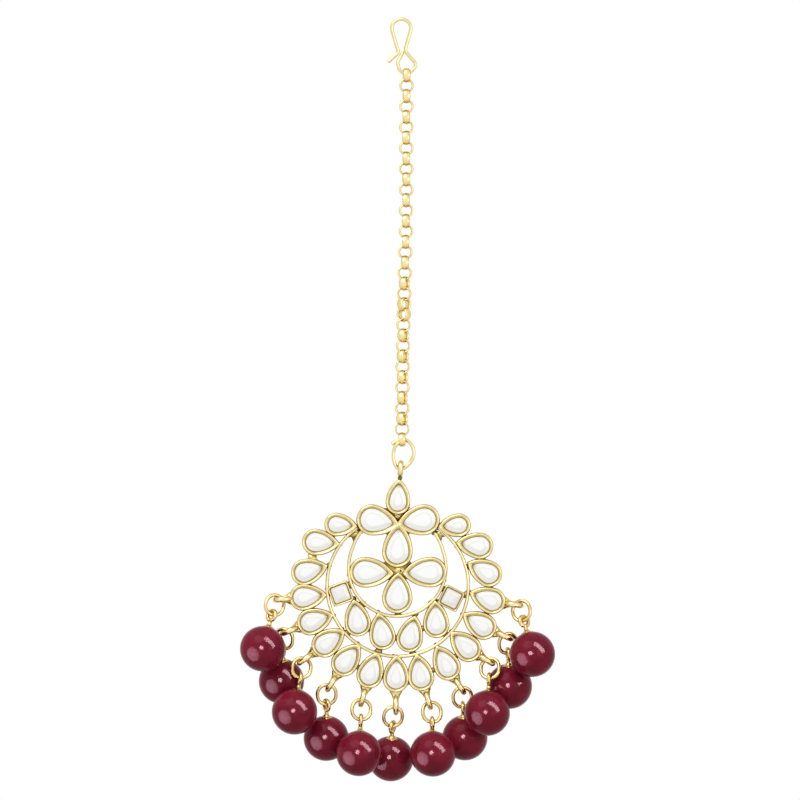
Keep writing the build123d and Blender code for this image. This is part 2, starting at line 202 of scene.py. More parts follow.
# The crescent's strips: (centre x, centre z, radius, left end's angle, right end's angle)
STRIPS = {
    "outer": (-0.1, -0.1, 15.9, 125, 415),
    "inner": (-0.2, 4.0, 10.95, 134, 403),
}

# Fillings of solder: (x, z, half length, half width, turn, y of the front, dirt and painted shade)
FILLINGS = [
    # The first filling is painted almost black: painted shade of a hole where the petals' tips
    # meet.
    (0.59, 3.27, 0.45, 0.45, 0, -1.2, 2.5), (-0.2, 3.35, 0.6, 0.35, 30, -1.15, 0.1),
    (-0.1, 15.6, 1.1, 0.9, 0, -0.7, 0.6), (-0.55, 15.9, 0.5, 0.4, 20, -1.0, 0.45),
    (0.45, 15.85, 0.5, 0.4, -30, -1.0, 0.55), (-0.05, 15.25, 0.4, 0.4, 0, -0.95, 0.7),
]

# Webs of solder between the cups: (y of the front, dirt and painted shade, corners as x and z)
WEBS = [
    (-0.75, 0.55, [(-8.3, 12.5), (-9.8, 12.0), (-11.4, 10.75), (-10.5, 10.85), (-9.95, 9.7),
                   (-9.3, 11.2)]),
    (-0.75, 0.55, [(8.5, 12.4), (9.3, 10.6), (9.7, 9.9), (9.95, 10.8), (10.6, 11.0), (9.6, 11.9)]),
    (-0.6, 0.75, [(-3.3, 5.3), (-2.7, 1.15), (2.4, 1.4), (2.9, 5.3)]),
    (-1.05, 0.2, [(-1.3, 3.65), (-1.05, 2.75), (-0.15, 2.5), (0.9, 2.4), (1.8, 3.2), (1.1, 4.25),
                  (-0.35, 4.1)]),
    (-0.6, 0.75, [(-3.2, 17.4), (-0.2, 14.1), (2.8, 17.6)]),
    (-0.6, 0.75, [(-2.4, 12.1), (1.9, 12.2), (-0.2, 13.8)]),
    (-0.95, 0.15, [(-20.2, 7.6), (-20.4, 5.4), (-17.9, 5.4), (-18.4, 6.4), (-19.0, 7.0)]),
]

# Neighbours that a drop of solder joins
SIDES = ("left", "right")
SOLDERED = [("crest", f"shoulder_{side}") for side in SIDES] + [("shoulder_left", "shoulder_right")]
SOLDERED += [(f"shoulder_{side}", "petal_top") for side in SIDES]
SOLDERED += [("petal_top", f"petal_{side}") for side in SIDES]
SOLDERED += [(f"petal_{side}", "petal_bottom") for side in (*SIDES, "top")]
SOLDERED += [(f"petal_{side}", "inner") for side in (*SIDES, "bottom")]
SOLDERED += [(f"square_{side}", other) for side, leaf in zip(SIDES, ("leaf_1", "leaf_4"))
             for other in ("inner", "outer", leaf)]
SOLDERED += [(f"leaf_{n}", strip) for strip in ("inner", "outer") for n in range(1, 5)]
SOLDERED += [(f"leaf_{n}", f"leaf_{n + 1}") for n in range(1, 4)]
SOLDERED += [(f"shoulder_{side}", strip) for strip in ("inner", "outer") for side in SIDES]
SOLDERED += [("rim_01", "shoulder_left"), ("rim_17", "shoulder_right")]
SOLDERED += [(f"rim_{n:02d}", f"rim_{n + 1:02d}") for n in range(1, 17)]
SOLDERED += [(f"rim_{n:02d}", "outer") for n in range(2, 17)]

# Drops, from the wearer's right: (cup, lug tip x and z, lean of the jump ring from straight
# down, bead x, y and z, turns of the jump ring and of the eye about the pin).
DROPS = [
    ("rim_04", -27.9, -3.3, -18, -30.4, -3.2, -14.15, -14, 44),
    ("rim_05", -26.3, -11.0, 6, -26.3, 3.5, -21.7, 18, 77),
    ("rim_06", -22.5, -17.7, 17, -23.25, -3.8, -28.3, -2, 80),
    ("rim_07", -16.1, -23.8, -11, -16.2, 3.1, -34.55, -6, 62),
    ("rim_08", -8.5, -27.2, 4, -8.8, -3.4, -37.65, -6, 88),
    ("rim_09", -0.5, -29.0, -31, -1.65, 4.0, -39.2, -8, 112),
    ("rim_10", 7.4, -27.8, 16, 7.8, -3.5, -37.75, -12, 84),
    ("rim_11", 15.0, -24.4, -13, 15.05, 3.5, -34.45, -8, 92),
    ("rim_12", 21.6, -17.8, -24, 20.0, -3.4, -28.6, 15, 100),
    ("rim_13", 25.8, -12.2, -32, 25.1, 3.6, -22.85, -20, 80),
    ("rim_14", 28.0, -4.6, 11, 30.15, -3.0, -15.4, 20, -38),
]

# Turned shapes as (radius, height along the axis): a lug's foot and a bead's cap
LUG_FOOT = [(1.5, -0.45), (1.4, 0.0), (1.12, 0.4), (0.9, 0.8), (0.76, 1.25), (0.6, 1.7)]
CAP_PROFILE = [
    (1.45, 4.94), (1.42, 5.06), (1.1, 5.2), (0.8, 5.36), (0.62, 5.58), (0.56, 5.7), (0.4, 5.72),
    (0.37, 5.55), (0.6, 5.28), (0.95, 5.1), (1.3, 4.95),
]

# A cup's section, from the stone's seat over the rim to the back:
# (share of the wall's thickness, length added, y, dirt and painted shade)
CUP_PROFILE = [
    (0, 0, STONE_BACK, 0.15), (0, 0, -0.55, 0.15), (0, 0.06, -0.8, 0.2), (0.3, 0, -1.02, 0.2),
    (0.48, 0, -1.24, 0), (0.68, 0, -1.27, 0), (0.86, 0, -1.1, 0.2), (1, 0, -0.75, 0.5),
    (1, 0, -0.4, 0.6), (1, 0, 0.85, 0.4), (1, -0.18, BACK, 0.1),
]

# A strip's section: (offset as a share of half its width, y, dirt and painted shade)
STRIP_SECTION = [
    (-1, 0.85, 0.35), (-1, -0.75, 0.1), (-0.7, -1.0, 0), (0, -1.1, 0), (0.7, -1.0, 0),
    (1, -0.75, 0.1), (1, 0.85, 0.35), (0.6, 0.98, 0.1), (-0.6, 0.98, 0.1),
]

# A stone's edge, from its back to its table: (offset from the opening, y, greyness of painted
# shade)
STONE_ROWS = [
    (-0.02, STONE_BACK, 0.35), (-0.02, -0.72, 0.35), (-0.1, -0.78, 0.25), (-0.25, -0.82, 0.15),
    (-0.75, -1.02, 0.12), (-0.95, -1.07, 0.38), (-1.15, -1.09, 0.2), (-1.45, -1.1, 0.0),
]
TABLE_EDGE = -1.1  # a stone's rows further in than this belong to its table
TIP_SHADE = 1.7  # how far the shade of a stone's tip reaches

# Bead: its bore, the mouth's soft edge, and the angle (radians) at which the ball begins
BORE_RADIUS = 0.5
BORE_END = 3.0
MOUTH_EDGE = 0.06
MOUTH_ANGLE = 0.135
POINT = 0.0001  # radius at which a turned shape is closed

# View, in metres: its middle, its width, the camera's distance; then the floor and the room
VIEW_CENTRE = Vector((-0.225, 0, -85.3)) * MM
VIEW_WIDTH = 0.180
VIEW_DISTANCE = 1.6
SENSOR = 36.0  # millimetres, as the lens
GLINT_AIM = Vector((0, 0, -150)) * MM  # the glints aim at the row of beads
FLOOR_DEPTH = 0.30  # how far the floor lies below the jewel
FLOOR_RADIUS = 0.5
FLOOR_GREY = (0.86, 0.86, 0.86, 1)
WHITE = (1, 1, 1, 1)
ROOM_LIGHT = 0.76

# Lamps: name, way to it, direction of its length, distance, (length, width), watts, colour,
# spread in degrees, and whether it is only a glint in the beads.
STUDIO = [
    ("Soft key", (-0.35, -0.55, 0.75), (1, 0, 0), 0.9, (0.7, 0.7), 3.8, (1, 1, 1), 180, False),
    ("Soft fill", (0.6, -0.75, 0.1), (0, 0, 1), 0.9, (0.5, 0.5), 0.9, (1, 1, 1), 180, False),
    ("Glint at the lens", (-0.139, -0.98, 0.139), (1, 0, 0), 0.9, (0.32, 0.32), 27.0,
     (1.0, 0.66, 0.72), 180, True),
    ("Glint of the window", (0.568, -0.577, 0.586), (0.72, 0, -0.7), 0.9, (1.05, 0.33), 72.0,
     (1.0, 0.7, 0.78), 180, True),
    ("Glint of the round reflector", (-0.779, -0.498, -0.381), (1, 0, 0), 0.33, (0.4, 0.4), 3.2,
     (1.0, 0.68, 0.86), 100, True),
]


# ---- Mesh building ----
class Shell:
    """Vertices, faces and a value of dirt and painted shade for each vertex, in millimetres."""

    def __init__(self):
        self.points = []
        self.faces = []
        self.dirt_and_shade = []

    def add(self, points, faces, dirt_and_shade=0.0):
        """Adds a mesh; its dirt and painted shade is one value, or one for each point."""
        start = len(self.points)
        self.points += [Vector(point) for point in points]
        self.faces += [tuple(start + index for index in face) for face in faces]
        if isinstance(dirt_and_shade, (int, float)):
            dirt_and_shade = [dirt_and_shade] * len(points)
        self.dirt_and_shade += list(dirt_and_shade)


def grid_faces(rows, columns, wrap_rows=False):
    """Quads over a grid of rows by columns of points; each row is a ring."""
    faces = []
    for row in range(rows if wrap_rows else rows - 1):
        below = (row + 1) % rows * columns
        for column in range(columns):
            beside = (column + 1) % columns
            here = row * columns
            faces.append((here + column, here + beside, below + beside, below + column))
    return faces


def closed_faces(rows, columns):
    """Quads over a grid of rings, and a face over the last ring and over the first."""
    last = (rows - 1) * columns
    ends = [tuple(range(last, last + columns)), tuple(range(columns))[::-1]]
    return grid_faces(rows, columns) + ends


def round_angles(count):
    """Evenly spaced angles, in radians."""
    return [2 * pi * k / count for k in range(count)]


def wander(point, scale, seed=0.0):
    """A smooth random number from about -1 to 1 for a place."""
    return noise(Vector(point) * scale + Vector((seed, seed * 1.7, -seed)))


def sweep(shell, path, radius, closed=False, sides=14, dirt_and_shade=0.0, rough=0.0, seed=0.0):
    """A round wire along a path, with rounded ends unless it is closed."""
    path = [Vector(point) for point in path]
    count = len(path)
    tangents = []
    for index in range(count):
        after = path[(index + 1) % count] if closed or index < count - 1 else path[index]
        before = path[index - 1] if closed or index else path[index]
        tangents.append((after - before).normalized())
    side = tangents[0].orthogonal().normalized()
    if abs(tangents[0].y) < 0.9:
        side = (Vector((0, 1, 0)) - tangents[0] * tangents[0].y).normalized()
    rows = []
    for index, (centre, along) in enumerate(zip(path, tangents)):
        side = (side - along * side.dot(along)).normalized()
        other = along.cross(side)
        wire = radius * (1.0 + rough * wander(centre, 0.9, seed))
        rows.append([centre + side * (wire * cos(angle)) + other * (wire * sin(angle))
                     for angle in round_angles(sides)])
    if not closed:
        rows = end_cap(rows[0], path[0], -tangents[0], radius)[::-1] + rows
        rows += end_cap(rows[-1], path[-1], tangents[-1], radius)
    points = [point for row in rows for point in row]
    faces = grid_faces(len(rows), sides, wrap_rows=closed)
    if not closed:
        faces.append(tuple(range(sides))[::-1])
        faces.append(tuple(range(len(points) - sides, len(points))))
    shell.add(points, faces, dirt_and_shade)


def end_cap(row, centre, out, radius):
    """Two smaller rows that round off a wire's end."""
    return [[centre + (point - centre) * shrink + out * (radius * push) for point in row]
            for shrink, push in ((0.82, 0.32), (0.4, 0.48))]


def rounded_path(corners, radii, step=0.25):
    """Points along straight runs joined by arcs of the given radii."""
    corners = [Vector(corner) for corner in corners]
    points = [corners[0]]
    for before, here, after, radius in zip(corners, corners[1:], corners[2:], radii):
        into = (here - before).normalized()
        out = (after - here).normalized()
        turn = into.angle(out)
        reach = radius * tan(turn / 2)
        start = here - into * reach
        inward = (out - into * out.dot(into)).normalized()
        centre = start + inward * radius
        points += run(points[-1], start, step)[1:]
        pieces = max(3, int(radius * turn / step))
        for k in range(1, pieces + 1):
            angle = turn * k / pieces
            points.append(centre - inward * (radius * cos(angle)) + into * (radius * sin(angle)))
    points += run(points[-1], corners[-1], step)[1:]
    return points


def run(start, end, step):
    """Points along a straight line, about a step apart."""
    pieces = max(1, int((end - start).length / step))
    return [start.lerp(end, k / pieces) for k in range(pieces + 1)]


def smooth_path(corners, pieces=5):
    """Points along a smooth curve that passes through every corner."""
    corners = [Vector(corner) for corner in corners]
    corners = [corners[0] * 2 - corners[1], *corners, corners[-1] * 2 - corners[-2]]
    points = [corners[1]]
    for a, b, c, d in zip(corners, corners[1:], corners[2:], corners[3:]):
        for k in range(1, pieces + 1):
            t = k / pieces
            points.append(b + (c - a) * (t / 2) + (a * 2 - b * 5 + c * 4 - d) * (t**2 / 2)
                          + (b * 3 - a - c * 3 + d) * (t**3 / 2))
    return points


def oval_path(centre, along, across, radius, straight, count=56, start=0.0, sweep_turn=360.0):
    """Points round an oval with straight sides, from start and as far as sweep_turn degrees."""
    points = []
    for k in range(count):
        angle = radians(start + sweep_turn * k / (count if sweep_turn == 360.0 else count - 1))
        rise = cos(angle)
        shift = straight / 2 * max(-1.0, min(1.0, rise * 6))
        points.append(centre + along * (radius * rise + shift) + across * (radius * sin(angle)))
    return points


def lathe(shell, base, axis, profile, sides, dirt_and_shade=0.0, petals=0, petal_depth=0.0):
    """A turned shape: profile rows are (radius, height along the axis from the base)."""
    axis = Vector(axis).normalized()
    side = Vector((0, -1, 0)) - axis * -axis.y
    side.normalize()
    other = axis.cross(side)
    points = []
    for radius, height in profile:
        for angle in round_angles(sides):
            flare = 1.0
            if petals:
                lobe = abs(sin(petals * angle / 2)) ** 0.7
                flare -= petal_depth * (radius / profile[0][0]) * lobe
            points.append(base + axis * height
                          + (side * cos(angle) + other * sin(angle)) * (radius * flare))
    shell.add(points, grid_faces(len(profile), sides), dirt_and_shade)


def blob(shell, centre, sizes, turn=0.0, dirt_and_shade=0.6, seed=0.0, rings=8, sides=14):
    """A lump of solder: an uneven ellipsoid turned in the pendant's plane."""
    c, s = cos(radians(turn)), sin(radians(turn))
    points = []
    for row in range(rings + 1):
        height = pi * row / rings
        for angle in round_angles(sides):
            x = sizes[0] * sin(height) * cos(angle)
            z = sizes[2] * sin(height) * sin(angle)
            y = -sizes[1] * cos(height)
            lump = 1 + 0.14 * wander((x * 2, y * 2, z * 2), 1.3, seed)
            points.append(Vector(centre) + Vector((x * c - z * s, y, x * s + z * c)) * lump)
    shell.add(points, grid_faces(rings + 1, sides), dirt_and_shade)


# ---- Outlines of the settings ----
def pear_outline(kind, offset, count=72):
    """Points round a pear from its tip, round end at the origin, moved out by the offset."""
    width, length, tip_metal, _ = OPENINGS[kind]
    length += tip_metal * min(1.0, max(0.0, offset / 0.5))
    bulb = width / 2
    side = SIDE_ARC * width
    reach = length - bulb
    along = (reach**2 - 2 * side * bulb + bulb**2) / (2 * reach)
    across = sqrt((side - bulb) ** 2 - along**2)
    bulb += offset
    side += offset
    reach = along + sqrt(max(side**2 - across**2, 0.0))
    join = atan2(across, -along)
    first = atan2(across, reach - along)
    share = count // 4
    points = []
    for k in range(share):
        angle = first + (join - first) * (k / share) ** 0.85
        points.append((along + side * cos(angle), -across + side * sin(angle)))
    for k in range(count - 2 * share + 1):
        angle = join + (2 * pi - 2 * join) * k / (count - 2 * share)
        points.append((bulb * cos(angle), bulb * sin(angle)))
    points += [(x, -z) for x, z in points[share - 1:0:-1]]
    return points


def square_outline(offset, count=72):
    """Points round a square with softened corners, from the middle of one side."""
    half = OPENINGS["square"][0] / 2 + offset
    points = []
    for k in range(count):
        angle = 2 * pi * (k + 0.5) / count
        c, s = cos(angle), sin(angle)
        x = half * abs(c) ** 0.2 * (1 if c > 0 else -1)
        z = half * abs(s) ** 0.2 * (1 if s > 0 else -1)
        points.append((x, z))
    return points


def outline(name, offset, count=72):
    """Points round a setting, in the pendant's plane from the crescent's centre."""
    kind, x, z, turn = SETTINGS[name]
    local = square_outline(offset, count) if kind == "square" else pear_outline(kind, offset, count)
    c, s = cos(radians(turn)), sin(radians(turn))
    return [(x + px * c - pz * s, z + px * s + pz * c) for px, pz in local]


def strip_line(name, count=150):
    """Points along the middle of a strip; the inner one's ends bend out from its circle."""
    x, z, radius, start, end = STRIPS[name]
    points = []
    for k in range(count):
        angle = start + (end - start) * k / (count - 1)
        left = min(angle - start, end - angle)
        flare = 0.5 * max(0.0, 1 - left / 22) if name == "inner" else 0.0
        reach = radius + flare
        points.append((x + reach * cos(radians(angle)), z + reach * sin(radians(angle))))
    return points


def wall_of(name):
    """Thickness of a setting's wall."""
    return OPENINGS[SETTINGS[name][0]][3]


def standing(point, y):
    """A place in the pendant's plane, stood upright at a depth."""
    return PENDANT + Vector((point[0], y, point[1]))


# ---- Places of the drops ----
def lug_line(row):
    """Foot and tip of a lug and the direction between them."""
    kind, x, z, _ = SETTINGS[row[0]]
    round_end = standing((x, z), 0)
    tip = standing((row[1], row[2]), 0)
    out = (tip - round_end).normalized()
    return round_end + out * (OPENINGS[kind][0] / 2 + wall_of(row[0])), tip, out


def drop_places(row):
    """Jump ring's middle, eye's middle, bead's centre and the way down."""
    lean = radians(row[3])
    bead = PENDANT + Vector(row[4:7])
    _, tip, out = lug_line(row)
    lug_wire = tip - out * LUG_HALF_WIRE
    jump = lug_wire + Vector((sin(lean), 0, -cos(lean))) * JUMP_HANG
    jump += Vector((0, row[5] * JUMP_HANG / (bead - lug_wire).length, 0))
    down = (bead - jump).normalized()
    eye = jump + down * (JUMP_RADIUS + JUMP_STRAIGHT / 2 + EYE_HANG)
    return jump, eye, bead, down


def turned_axes(down, turn):
    """Normal of a ring that faces front, turned about the way down, and the axis across it."""
    front = Vector((0, -1, 0))
    square = (front - down * front.dot(down)).normalized()
    side = down.cross(square)
    normal = square * cos(radians(turn)) + side * sin(radians(turn))
    return normal, down.cross(normal)


# ---- Materials ----
def linear(colour):
    """An sRGB colour as the renderer's linear values."""
    return tuple(c / 12.92 if c <= 0.04045 else ((c + 0.055) / 1.055) ** 2.4 for c in colour[:3])


def opaque(colour):
    """An sRGB colour as a socket takes it."""
    return (*linear(colour), 1)


# Colour of the dirt and painted shade in the gold's crevices and joints.
DIRT_AND_SHADE = opaque((0.30, 0.235, 0.085))
# Painted shade of the stones: grey along the bevel and by the wall, olive towards a tip.
STONE_SHADE_GREY = opaque((0.92, 0.915, 0.89))
STONE_SHADE_OLIVE = opaque((0.58, 0.52, 0.34))
RELIEF = 0.1
RELIEF_DEPTH = 0.00004


class Nodes:
    """Short ways to add and join shader nodes."""

    def __init__(self, tree):
        self.tree = tree
        self.tree.nodes.clear()

    def add(self, kind, inputs=None, **settings):
        """A new node; each input is set to a value or joined to another node's output."""
        node = self.tree.nodes.new(kind)
        for name, value in settings.items():
            setattr(node, name, value)
        for name, value in (inputs or {}).items():
            if isinstance(value, bpy.types.NodeSocket):
                self.tree.links.new(value, node.inputs[name])
            else:
                node.inputs[name].default_value = value
        return node

    def math(self, operation, first, second, clamp=False):
        """A sum, product or other figure of two values."""
        node = self.add("ShaderNodeMath", {0: first, 1: second}, operation=operation,
                        use_clamp=clamp)
        return node.outputs[0]

    def mix(self, factor, first, second):
        """A colour between two others."""
        node = self.add("ShaderNodeMix", {"Factor": factor, "A": first, "B": second},
                        data_type="RGBA")
        return node.outputs["Result"]

    def mask(self, name):
        """A value that the mesh holds for each vertex."""
        return self.add("ShaderNodeAttribute", attribute_name=name).outputs["Fac"]

    def cloud(self, place, scale, **inputs):
        """Noise that stays in place on the object."""
        inputs = {"Vector": place.outputs["Object"], "Scale": scale, **inputs}
        return self.add("ShaderNodeTexNoise", inputs).outputs["Fac"]

    def ramp(self, factor, *stops):
        """A colour ramp; the first two stops, (position, colour), are its ends."""
        node = self.add("ShaderNodeValToRGB", {"Fac": factor})
        elements = node.color_ramp.elements
        for index, (position, colour) in enumerate(stops):
            stop = elements[index] if index < 2 else elements.new(position)
            stop.position = position
            stop.color = colour
        return node.outputs["Color"]

    def finish_with(self, inputs):
        """The surface's shader and the material's output."""
        shader = self.add("ShaderNodeBsdfPrincipled", inputs)
        self.add("ShaderNodeOutputMaterial", {"Surface": shader.outputs["BSDF"]})

    def blend(self, factor, first, second):
        """A shader between two others."""
        return self.add("ShaderNodeMixShader", {"Fac": factor, 1: first, 2: second}).outputs[0]

    def seen(self):
        """1 for what is seen directly, in a reflection or through glass."""
        path = self.add("ShaderNodeLightPath").outputs
        both = self.math("MAXIMUM", path["Is Camera Ray"], path["Is Glossy Ray"])
        return self.math("MAXIMUM", both, path["Is Transmission Ray"])


def new_material(name):
    """Makes a material and gives its empty tree."""
    material = bpy.data.materials.new(name)
    material.use_nodes = True
    return Nodes(material.node_tree)


def plated_gold_group():
    """Plated metal: painted light facing front or back, painted shade on the sides, dirt and
    painted shade in crevices.
    """
    group = bpy.data.node_groups.new("Plated gold", "ShaderNodeTree")
    nodes = Nodes(group)
    for label, kind, value in (
            ("Light", "Color", (0.9, 0.7, 0.35, 1)), ("Deep", "Color", (0.5, 0.3, 0.1, 1)),
            ("Dirt and shade", "Color", (0.05, 0.035, 0.015, 1)), ("Shade and dirt amount", "Float", 1.0),
            ("Mottle", "Float", 0.3)):
        socket = group.interface.new_socket(
            name=label, in_out="INPUT", socket_type=f"NodeSocket{kind}")
        socket.default_value = value
    for label, kind in (("Color", "Color"), ("Roughness", "Float"), ("Height", "Float")):
        group.interface.new_socket(name=label, in_out="OUTPUT", socket_type=f"NodeSocket{kind}")
    given = nodes.add("NodeGroupInput").outputs
    place = nodes.add("ShaderNodeTexCoord")
    cloud = nodes.cloud(place, 900.0, Detail=3.0)
    grain = nodes.cloud(place, 4200.0, Detail=2.0)
    math = nodes.math
    spots = math("MULTIPLY", math("SUBTRACT", cloud, 0.5), given["Mottle"])
    # Painted light and shade: the facing mask picks the light gold, and its lack the deep gold.
    bright = math("ADD", nodes.mask("painted_light"), math("MULTIPLY", spots, 2.0), clamp=True)
    metal = nodes.mix(bright, given["Deep"], given["Light"])
    edge = math("ADD", nodes.mask("dirt_and_shade"), spots)
    cover = math("MULTIPLY", math("MULTIPLY", edge, edge), given["Shade and dirt amount"], clamp=True)
    matt = math("ADD", math("MULTIPLY", cover, 0.35), 0.2)
    nodes.add("NodeGroupOutput", {
        "Color": nodes.mix(cover, metal, given["Dirt and shade"]),
        "Roughness": math("ADD", matt, math("MULTIPLY", spots, 0.4), clamp=True),
        "Height": math("ADD", cloud, math("MULTIPLY", grain, 0.12)),
    })


def gold_material(name, light, deep, dirt_and_shade_amount, mottle=0.3):
    """Metal with the plated gold's finish in its own two golds: painted lit and painted shaded."""
    nodes = new_material(name)
    finish = nodes.add("ShaderNodeGroup", {
        "Light": opaque(light), "Deep": opaque(deep), "Dirt and shade": DIRT_AND_SHADE, "Shade and dirt amount": dirt_and_shade_amount,
        "Mottle": mottle}, node_tree=bpy.data.node_groups["Plated gold"]).outputs
    relief = nodes.add("ShaderNodeBump", {
        "Strength": RELIEF, "Distance": RELIEF_DEPTH, "Height": finish["Height"]})
    nodes.finish_with({"Metallic": 1.0, "Base Color": finish["Color"],
                       "Roughness": finish["Roughness"], "Normal": relief.outputs["Normal"]})


def stone_material(name, colour):
    """White foiled glass: clear bright table, with painted shade, greyer where the bevel turns down
    to the wall and olive near the tip.
    """
    nodes = new_material(name)
    cloud = nodes.cloud(nodes.add("ShaderNodeTexCoord"), 420.0)
    shade = nodes.add("ShaderNodeMath", {0: cloud, 1: 0.12, 2: nodes.mask("dirt_and_shade")},
                      operation="MULTIPLY_ADD", use_clamp=True)
    glass = nodes.ramp(shade.outputs[0], (0.05, opaque(colour)), (1.0, STONE_SHADE_OLIVE),
                       (0.5, STONE_SHADE_GREY))
    nodes.finish_with(
        {"Roughness": 0.12, "Coat Weight": 0.5, "Coat Roughness": 0.04, "Base Color": glass})


def bead_material(name, colour):
    """Dyed stone: deep red with faint clouds, highly polished."""
    nodes = new_material(name)
    cloud = nodes.cloud(nodes.add("ShaderNodeTexCoord"), 330.0, Detail=5.0, Distortion=0.6)
    base = linear(colour)
    red = nodes.ramp(cloud, (0.3, (*(c * 0.78 for c in base), 1)),
                     (0.72, (*(c * 1.2 for c in base), 1)))
    matt = nodes.add("ShaderNodeMapRange", {"Value": cloud, "To Min": 0.08, "To Max": 0.16})
    nodes.finish_with({"IOR": 1.45, "Specular IOR Level": 0.08, "Base Color": red,
                       "Roughness": matt.outputs["Result"]})


def make_piece(name, shell, body, nodes, material, painted_light_share=1.0):
    """Makes the object, gives it its masks and material, and puts it on its CAD body."""
    mesh = bpy.data.meshes.new(name)
    mesh.from_pydata([tuple(point * MM) for point in shell.points], [], shell.faces)
    mesh.update()
    mesh.shade_smooth()
    mesh.attributes.new("dirt_and_shade", "FLOAT", "POINT").data.foreach_set("value", shell.dirt_and_shade)
    # Painted light and shade: faces turned to the front or the back are marked lit, the sides
    # shaded, by the share given.
    normals = np.zeros(len(mesh.vertices) * 3)
    mesh.vertices.foreach_get("normal", normals)
    facing = np.clip(np.abs(normals[1::3]), 0.0, 1.0) ** 1.8
    shine = 1.0 - painted_light_share * (1.0 - facing)
    mesh.attributes.new("painted_light", "FLOAT", "POINT").data.foreach_set("value", shine)
    mesh.materials.append(bpy.data.materials[material])
    piece = bpy.data.objects.new(name, mesh)
    bpy.context.collection.objects.link(piece)
    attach(piece, body)
    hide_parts(*nodes)


def bend_wire(node, body, path, wire, rough):
    """A piece that is one bent wire."""
    shell = Shell()
    sweep(shell, path, wire / 2, sides=18, rough=rough)
    make_piece(f"{node}_wire", shell, body, [node], "Wire gold", 0.9)


# ---- Settings a user would change ----
def metres(name, default, description):
    """A size in metres."""
    return FloatProperty(name=name, description=description, default=default, unit="LENGTH",
                         subtype="DISTANCE")


def hue(name, default, description):
    """A colour as it looks under a plain light."""
    return FloatVectorProperty(name=name, description=description, default=default, size=3,
                               min=0, max=1, subtype="COLOR_GAMMA")


class TikkaWire(bpy.types.PropertyGroup):
    """Wire work above the pendant."""

    hook_wire: metres("Hook wire", 0.0008, "Diameter of the hair hook's wire")
    ring_wire: metres("Ring wire", 0.0008, "Diameter of the connector ring's wire")
    link_radius: metres("Link radius", 0.00166, "Outer radius of a chain link")
    link_width: metres("Link width", 0.00144, "Width of a chain link's band")


class TikkaPendant(bpy.types.PropertyGroup):
    """The pendant's metal, stones and drops."""

    strip_width: metres("Strip width", 0.00075, "Width of the crescent's bent strips")
    bead_radius: metres("Bead radius", 0.00513, "Radius of a bead")
    outline_points: IntProperty(
        name="Outline points", description="Points round each setting",
        default=72, min=24, max=160)


class TikkaColours(bpy.types.PropertyGroup):
    """Colours of the finishes."""

    # Each _light colour is the gold painted lit and each _deep colour the gold painted in shade;
    # the facing mask mixes them.
    frame_light: hue("Frame, painted lit", (0.975, 0.92, 0.70), "Gold of the cups where they face front, painted lit")
    frame_deep: hue("Frame, painted shade", (0.75, 0.63, 0.27), "Gold of the cups' sides, painted shade")
    wire_light: hue("Wire, painted lit", (0.945, 0.885, 0.67), "Pale gold of the hook and the ring")
    wire_deep: hue("Wire and chain, painted shade", (0.83, 0.71, 0.34), "Gold of the wire's and chain's sides, painted shade")
    link_light: hue("Links, painted lit", (0.98, 0.90, 0.66), "Yellower gold of the chain's links")
    drop_light: hue("Jump rings, painted lit", (0.93, 0.825, 0.57), "Warm gold of the jump rings")
    drop_deep: hue("Jump rings, painted shade", (0.75, 0.63, 0.37), "Warm gold of the rings' sides")
    stone: hue("Stones", (0.985, 0.99, 0.985), "White of the stones")
    bead: hue("Beads", (0.455, 0.094, 0.168), "Deep red of the beads")


# ---- Operators ----
class TIKKA_OT_finishes(bpy.types.Operator):
    """Makes the materials of the metal, the stones and the beads."""

    bl_idname = "tikka.finishes"
    bl_label = "Finishes"

    def execute(self, context):
        colours = context.scene.tikka_colours
        plated_gold_group()
        gold_material("Frame gold", colours.frame_light, colours.frame_deep, 0.82)
        gold_material("Wire gold", colours.wire_light, colours.wire_deep, 0.5, mottle=0.2)
        gold_material("Link gold", colours.link_light, colours.wire_deep, 0.5, mottle=0.2)
        gold_material("Drop gold", colours.drop_light, colours.drop_deep, 0.65)
        stone_material("White stone", colours.stone)
        bead_material("Red bead", colours.bead)
        return {"FINISHED"}


class TIKKA_OT_hair_hook(bpy.types.Operator):
    """Bends the hair hook from one wire: catch, arch and eye."""

    bl_idname = "tikka.hair_hook"
    bl_label = "Hair hook"

    def execute(self, context):
        wire = context.scene.tikka_wire.hook_wire / MM
        arch = [(x, 0, wire / 2) for x in HOOK_ARCH_X]
        path = rounded_path([*HOOK_CATCH, *arch, *HOOK_EYE], HOOK_BENDS, 0.2)
        bend_wire("hair_hook", "chain_and_hook", path, wire, 0.05)
        return {"FINISHED"}


def link_yaw(number):
    """How far a link is turned from facing front, in degrees."""
    waver = 5 * sin(number * 2.4)
    if number in TURNED_LINKS:
        return TURNED_LINKS[number]
    if number < TURNED_FROM:
        return (90 if number % 2 else 0) + waver
    if number >= LINK_COUNT - 1:
        return 0 if number % 2 else 90
    return (0 if number % 2 else 68) + waver


def link_profile(radius, inner, half):
    """Section of a link's band: (distance from its axis, place along it, dirt and painted shade).
    """
    outside = [-1 + 2 * k / 8 for k in range(9)]
    inside = [1 - 2 * k / 6 for k in range(7)]
    profile = [(radius - LINK_DOME * spread**2, half * spread * 0.97, 0.0) for spread in outside]
    return profile + [(inner + LINK_DOME * spread**2, half * spread * 0.9, 0.2)
                      for spread in inside]


